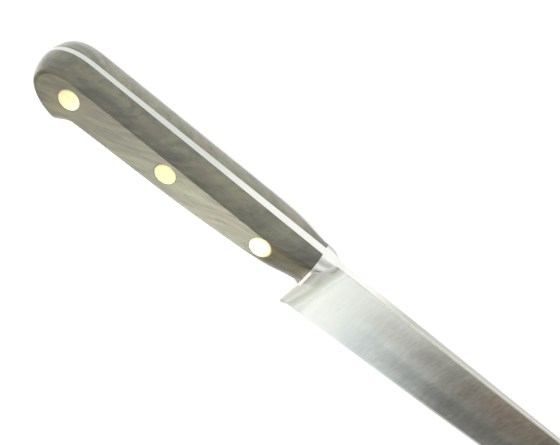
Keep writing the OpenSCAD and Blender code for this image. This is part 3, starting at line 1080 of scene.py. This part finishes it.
# Both sides of blade and bolster, with marks for the spine's narrow face and for its corner, where a
# highlight is painted
def forgedBlade():
    bm = bmesh.new()
    bm.verts.layers.float.new("polish")
    shapedGrid(bm, lastLine, lastRow, bladePoint, polishMark)
    spineLayer = bm.verts.layers.float.new("spine")
    cornerLayer = bm.verts.layers.float.new("corner")
    for v in bm.verts:
        down = spineAt(v.co.x) - v.co.y
        onBlade = smoothStep((v.co.x - blade["cornerStart"]) / blade["cornerStartLength"])
        faceDepth = blade["faceDepth"] if onBlade else bolster["faceDepth"]
        v[spineLayer] = 1.0 if down < faceDepth else 0.0
        v[cornerLayer] = onBlade * (1 - smoothStep((down - blade["spineEase"]) / blade["cornerWidth"]))
    copied = bmesh.ops.duplicate(bm, geom=bm.verts[:] + bm.edges[:] + bm.faces[:])["geom"]
    for g in copied:
        if isinstance(g, bmesh.types.BMVert):
            g.co.z *= -1
    bmesh.ops.bridge_loops(bm, edges=[e for e in bm.edges if e.is_boundary])
    bmesh.ops.recalc_face_normals(bm, faces=bm.faces)
    return bm


def tangMesh():
    bm = bmesh.new()
    verts = [bm.verts.new((p.x, p.y, -1)) for p in outline]
    face = bm.faces.new(verts)
    raised = bmesh.ops.extrude_face_region(bm, geom=[face])["geom"]
    for g in raised:
        if isinstance(g, bmesh.types.BMVert):
            g.co.z = 1
    for v in bm.verts:
        v.co.z *= tangHalfAt(v.co.x)
    return cutWith(meshFrom(bm, "tangPlate"), holeCutter(False))


tangPlate = tangMesh()
forging = forgedBlade()
before = len(forging.verts)
forging.from_mesh(tangPlate)
forging.verts.ensure_lookup_table()
polishLayer, spineLayer = (forging.verts.layers.float.get(name) for name in ("polish", "spine"))
for v in forging.verts[before:]:
    v[polishLayer] = smoothStep((v.co.x - tang["polishFrom"]) / tang["polishLength"])
    v[spineLayer] = v[polishLayer]
bladeMesh = bpy.data.meshes.new("blade")
forging.to_mesh(bladeMesh)
forging.free()
addPiece(bladeMesh, "blade", "blade", steel, blade["sharpAngle"])

floorLook = {
    "colour": (0.86, 0.86, 0.86, 1),
    "speckleColour": (0.8, 0.8, 0.8, 1),
    "speckleShare": 0.04,
    "speckles": ((300, 300, 300), (0, 0, 0), 2),
    "roughness": 0.9,
    "glow": 0.62,
    "halfSize": 4.0,
    "cells": 8,
    "drop": 0.0002,
}


def floorMaterial():
    material, tree, shader, place = newMaterial("paleFloor")
    shader.inputs["Roughness"].default_value = floorLook["roughness"]
    shader.inputs["Specular IOR Level"].default_value = 0.0
    speckle = times(tree, placedNoise(tree, place, floorLook["speckles"]), floorLook["speckleShare"])
    tint = blendColour(tree, speckle, floorLook["colour"], floorLook["speckleColour"])
    tree.links.new(tint, shader.inputs["Base Color"])
    path = tree.nodes.new("ShaderNodeLightPath").outputs
    seen = calc(tree, "ADD", path["Is Camera Ray"], path["Is Glossy Ray"], True)
    seen = calc(tree, "ADD", seen, path["Is Transmission Ray"], True)
    shader.inputs["Emission Color"].default_value = (1, 1, 1, 1)
    tree.links.new(times(tree, seen, floorLook["glow"]), shader.inputs["Emission Strength"])
    return material


floorBm = bmesh.new()
cells = floorLook["cells"]
bmesh.ops.create_grid(floorBm, x_segments=cells, y_segments=cells, size=floorLook["halfSize"])
floorMesh = meshFrom(floorBm, "floor")
floorMesh.materials.append(floorMaterial())
floor = bpy.data.objects.new("floor", floorMesh)
floor.location.z = -floorLook["drop"]
scene.collection.objects.link(floor)

# Softboxes and studio walls; the radiances are in the scene's own units
light = {
    "keyPlace": (-0.0315, -0.975, 0.69),
    "keySize": (0.175, 0.62),
    "keyRadiance": 3.8,
    "fillPlace": (-0.213, -0.975, 0.69),
    "fillSize": (0.187, 0.62),
    "fillRadiance": 1.28,
    "boxColour": (1.0, 0.985, 0.82),
    "topPlace": (-0.25, -0.1, 1.5),
    "topSize": (1.0, 1.0),
    "topRadiance": 0.6,
    "skyDim": (0.18, 0.15, 0.115, 1),
    "skyWall": (1.46, 1.46, 1.43, 1),
    "skyHorizon": (0.98, 0.97, 0.93, 1),
    "skyBack": (1.15, 1.15, 1.13, 1),
    "backSide": (-0.3, 0.1),
    "wallStart": (-0.17, -0.1),
    "wallEnd": (0.275, 0.15),
    "wallSide": (-0.1, -0.4),
    "wallTop": (0.97, 0.86),
    "horizonTop": (0.6, 0.46),
}


def addSoftbox(name, place, size, radiance, mirrored):
    lamp = bpy.data.lights.new(name, "AREA")
    lamp.shape = "RECTANGLE"
    lamp.color = light["boxColour"]
    lamp.size, lamp.size_y = size
    lamp.energy = radiance * math.pi * size[0] * size[1]
    box = bpy.data.objects.new(name, lamp)
    box.location = place
    box.rotation_mode = "QUATERNION"
    box.rotation_quaternion = Vector(place).to_track_quat("Z", "Y")
    box.visible_glossy = mirrored
    scene.collection.objects.link(box)


addSoftbox("keyBox", light["keyPlace"], light["keySize"], light["keyRadiance"], True)
addSoftbox("fillBox", light["fillPlace"], light["fillSize"], light["fillRadiance"], True)
addSoftbox("topBox", light["topPlace"], light["topSize"], light["topRadiance"], False)


# A bright wall on the -Y side that ends a little past the bolster, a pale horizon and a dim ceiling
def skyWorld():
    world = bpy.data.worlds.new("studio")
    scene.world = world
    world.use_nodes = True
    tree = world.node_tree
    tree.nodes.clear()
    out = tree.nodes.new("ShaderNodeOutputWorld")
    direction = tree.nodes.new("ShaderNodeTexCoord").outputs["Generated"]
    part = addNode(tree, "ShaderNodeSeparateXYZ", None, {0: direction}).outputs
    wall = patch(tree, part, light["wallEnd"], light["wallSide"])
    wall = times(tree, wall, remap(tree, part["X"], *light["wallStart"]))
    wall = times(tree, wall, remap(tree, part["Z"], *light["wallTop"]))
    horizon = remap(tree, part["Z"], *light["horizonTop"])
    glow = blendColour(tree, horizon, light["skyDim"], light["skyHorizon"])
    glow = blendColour(tree, remap(tree, part["Y"], *light["backSide"]), glow, light["skyBack"])
    glow = blendColour(tree, wall, glow, light["skyWall"])
    path = tree.nodes.new("ShaderNodeLightPath").outputs
    colour = blendColour(tree, path["Is Camera Ray"], glow, (1, 1, 1, 1))
    background = addNode(tree, "ShaderNodeBackground", None, {"Color": colour, "Strength": 1.0})
    tree.links.new(background.outputs[0], out.inputs[0])


skyWorld()

# The camera's place and turn were worked out from the three rivet heads in the photograph
camera = {
    "fromRivet": (0.00577, 0.29787, 0.29204),
    "right": (0.7888, 0.4821, -0.3814),
    "down": (0.6097, -0.5343, 0.5856),
    "forward": (0.0785, -0.6944, -0.7153),
    "lens": 83.571,
    "sensor": 36.0,
    "clip": (0.01, 20),
}


def addCamera():
    data = bpy.data.cameras.new("camera")
    data.lens, data.sensor_width = camera["lens"], camera["sensor"]
    data.clip_start, data.clip_end = camera["clip"]
    made = bpy.data.objects.new("camera", data)
    right, down, forward = (Vector(camera[k]).normalized() for k in ("right", "down", "forward"))
    turn = Matrix((right, -down, -forward)).transposed().to_4x4()
    head = Vector((rivetCentre.x, rivetCentre.y, rivetHigh.z))
    made.matrix_world = Matrix.Translation(head + Vector(camera["fromRivet"])) @ turn
    scene.collection.objects.link(made)
    scene.camera = made


addCamera()
scene.view_settings.view_transform = "Standard"
print("stage, light and camera ready")
